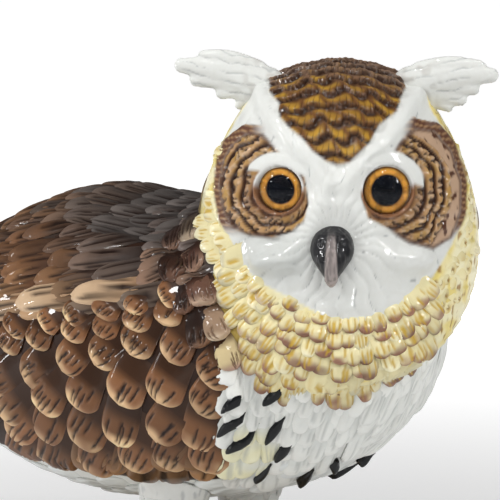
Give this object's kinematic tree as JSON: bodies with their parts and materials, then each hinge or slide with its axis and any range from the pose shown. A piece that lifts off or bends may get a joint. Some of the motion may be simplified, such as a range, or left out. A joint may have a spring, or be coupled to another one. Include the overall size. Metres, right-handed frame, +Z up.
{
  "type": "owl figurine",
  "caption": "Glazed porcelain horned owl with inset glass eyes, body level and head turned to one side, perched on a low hollow tree stump.",
  "frame": {"origin": "on the stump's flat underside, under the middle of the stump", "axes": "+X the way the owl's body faces, +Z up, -Y the owl's right side; the head is turned to the right, towards -Y"},
  "size_m": [0.4221, 0.156, 0.286],
  "materials": {
    "white_glaze": "high gloss glaze over white porcelain, hand painted",
    "brown_glaze": "high gloss glaze over brown hand painting",
    "bark_glaze": "high gloss glaze over painted bark",
    "toe_glaze": "gloss glaze",
    "horn_glaze": "gloss black glaze",
    "clear_glass": "polished",
    "amber_enamel": "painted on the back of the glass",
    "black_enamel": "painted on the back of the glass",
    "cement": "matt"
  },
  "bodies": {
    "root": {"stump_base": "bark_glaze", "body_shell": "white_glaze", "head_shell": "white_glaze", "wing_left": "brown_glaze", "wing_right": "brown_glaze", "tail_fan": "brown_glaze", "ear_tuft_left": "white_glaze", "ear_tuft_right": "white_glaze", "beak": "horn_glaze", "leg_left": "white_glaze", "leg_right": "white_glaze", "foot_left": "toe_glaze", "foot_right": "toe_glaze", "claws_left": "horn_glaze", "claws_right": "horn_glaze", "eye_glass_left": "clear_glass", "eye_glass_right": "clear_glass", "iris_left": "amber_enamel", "iris_right": "amber_enamel", "pupil_left": "black_enamel", "pupil_right": "black_enamel", "eye_cement_left": "cement", "eye_cement_right": "cement"}
  },
  "joints": []
}
